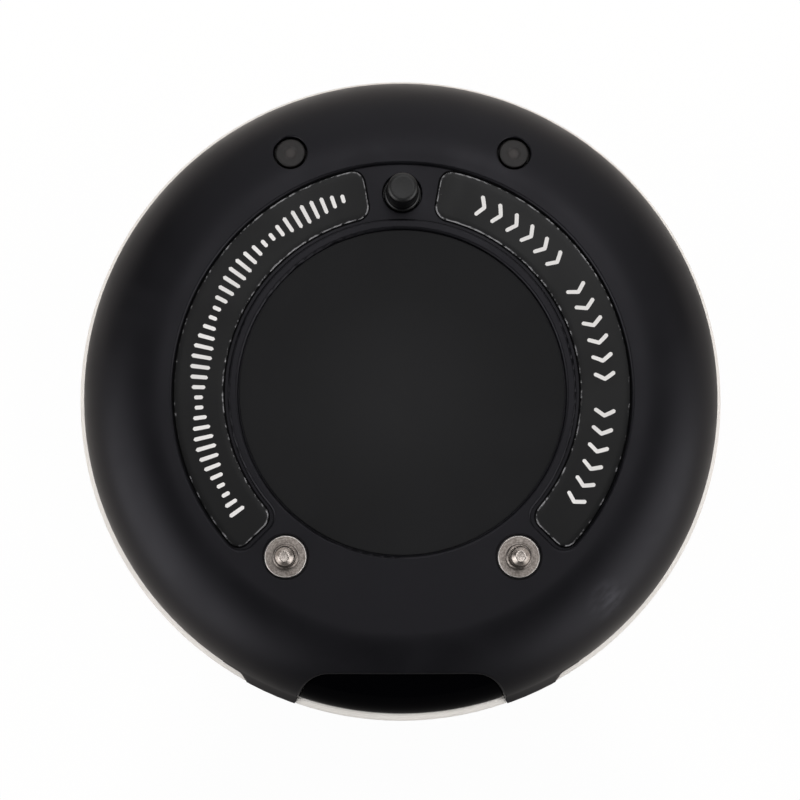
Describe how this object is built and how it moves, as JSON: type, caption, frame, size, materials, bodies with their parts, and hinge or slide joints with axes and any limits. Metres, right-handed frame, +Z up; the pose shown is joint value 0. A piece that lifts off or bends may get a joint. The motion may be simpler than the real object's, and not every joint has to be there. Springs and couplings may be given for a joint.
{
  "type": "coaster pager",
  "caption": "Round guest pager with a black soft-touch cover on a milky base, sprung charging contacts, a round key, arc labels and a front window.",
  "frame": {"origin": "on the table under the middle of the case", "axes": "+Z up out of the contact side, +X right, +Y back towards the key, the front notch at -Y"},
  "size_m": [0.105, 0.105, 0.027],
  "materials": {
    "cover_black": "soft-touch coating, very fine grain",
    "base_milky": "milky translucent moulding, satin",
    "window_black": "polished smoked plastic",
    "disc_black": "dead matt",
    "label_film": "satin printed film, edges worn pale",
    "plug_rubber": "matt grey rubber",
    "contact_nickel": "turned nickel plate",
    "spring_steel": "bright wire",
    "screw_steel": "zinc plate",
    "key_black": "satin moulding",
    "part_black": "moulded",
    "part_white": "moulded",
    "switch_red": "moulded",
    "board_green": "solder mask",
    "led_yellow": "clear resin over phosphor",
    "battery_foil": "foil pouch",
    "foam_grey": "closed foam",
    "lead_red": "insulated lead",
    "motor_steel": "drawn can",
    "sleeve_rubber": "moulded sleeve",
    "weight_tungsten": "sintered",
    "shield_tin": "tinned can",
    "ferrite": "sintered",
    "copper_wire": "enamelled wire",
    "foot_rubber": "clear grey rubber"
  },
  "bodies": {
    "case": {"top_cover": "cover_black", "base_shell": "base_milky", "front_window": "window_black", "centre_disc": "disc_black", "label_left": "label_film", "label_right": "label_film", "plug_left": "plug_rubber", "plug_right": "plug_rubber", "contact_barrel_left": "contact_nickel", "contact_barrel_right": "contact_nickel", "contact_spring_left": "spring_steel", "contact_spring_right": "spring_steel", "contact_nuts": "screw_steel", "key_spring": "spring_steel", "key_switch_body": "part_black", "circuit_board": "board_green", "board_screws": "screw_steel", "case_screws": "screw_steel", "led_set": "led_yellow", "battery_cell": "battery_foil", "battery_foam": "foam_grey", "battery_connector": "part_white", "battery_leads": "lead_red", "motor_can": "motor_steel", "motor_sleeve": "sleeve_rubber", "motor_leads": "lead_red", "buzzer": "part_black", "radio_module": "shield_tin", "processor_chip": "part_black", "antenna_rod": "ferrite", "antenna_winding": "copper_wire", "dock_contact_left": "contact_nickel", "dock_contact_right": "contact_nickel", "rubber_feet": "foot_rubber"},
    "key": {"key_cap": "key_black", "key_switch_plunger": "switch_red"},
    "left_contact": {"contact_pin_left": "contact_nickel"},
    "right_contact": {"contact_pin_right": "contact_nickel"},
    "motor_rotor": {"motor_shaft": "motor_steel", "eccentric_weight": "weight_tungsten"}
  },
  "joints": [
    {"name": "key_press", "type": "slide", "parent": "case", "child": "key", "axis": [0, 0, -1], "range_m": [0, 0.0008], "stiffness_N_per_m": 500, "springref_m": -0.002, "deforming": ["key_spring"]},
    {"name": "left_contact_press", "type": "slide", "parent": "case", "child": "left_contact", "axis": [0, 0, -1], "range_m": [0, 0.002], "stiffness_N_per_m": 300, "springref_m": -0.001, "deforming": ["contact_spring_left"]},
    {"name": "right_contact_press", "type": "slide", "parent": "case", "child": "right_contact", "axis": [0, 0, -1], "range_m": [0, 0.002], "stiffness_N_per_m": 300, "springref_m": -0.001, "deforming": ["contact_spring_right"]},
    {"name": "motor_spin", "type": "hinge", "parent": "case", "child": "motor_rotor", "pos_m": [-0.03, 0.005, 0.014], "axis": [0, 1, 0], "continuous": true}
  ]
}
